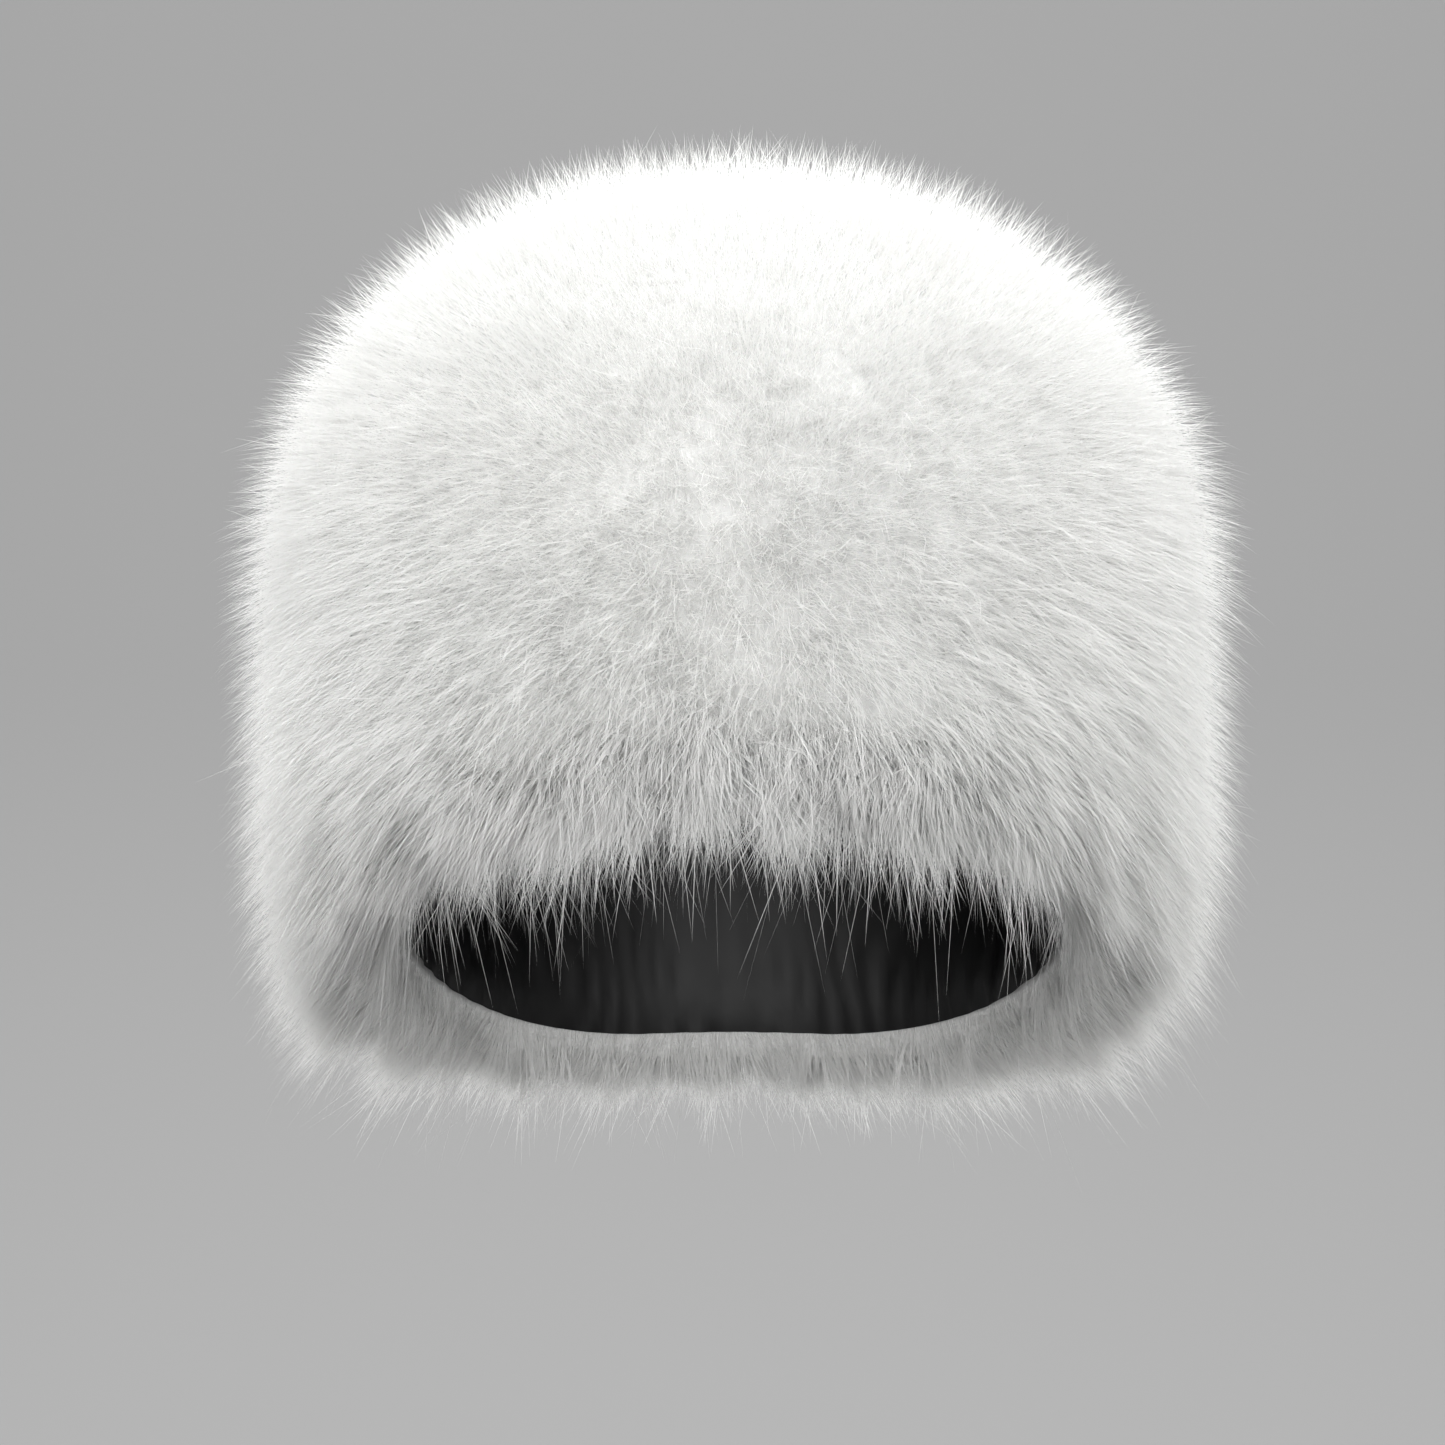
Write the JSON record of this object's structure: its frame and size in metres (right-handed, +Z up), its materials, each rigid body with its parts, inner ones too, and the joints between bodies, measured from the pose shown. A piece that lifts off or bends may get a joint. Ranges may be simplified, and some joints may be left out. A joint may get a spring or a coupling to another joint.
{
  "type": "ushanka fur hat",
  "caption": "Long-pile white fur hat with a high front rim, its ear and neck flap let down round the sides and back, and a black lining.",
  "frame": {"origin": "the inside of the lining at the top of the dome, where the top of a head meets it", "axes": "+Z up, the front rim towards -Y, +X to the right as seen from the front"},
  "size_m": [0.2735, 0.2872, 0.2873],
  "materials": {
    "fur": "long-pile white fur cloth",
    "lining": "black satin lining"
  },
  "bodies": {
    "root": {"crown_fur": "fur", "forehead_fur": "fur", "ear_neck_flap_fur": "fur", "lining": "lining"}
  },
  "joints": []
}
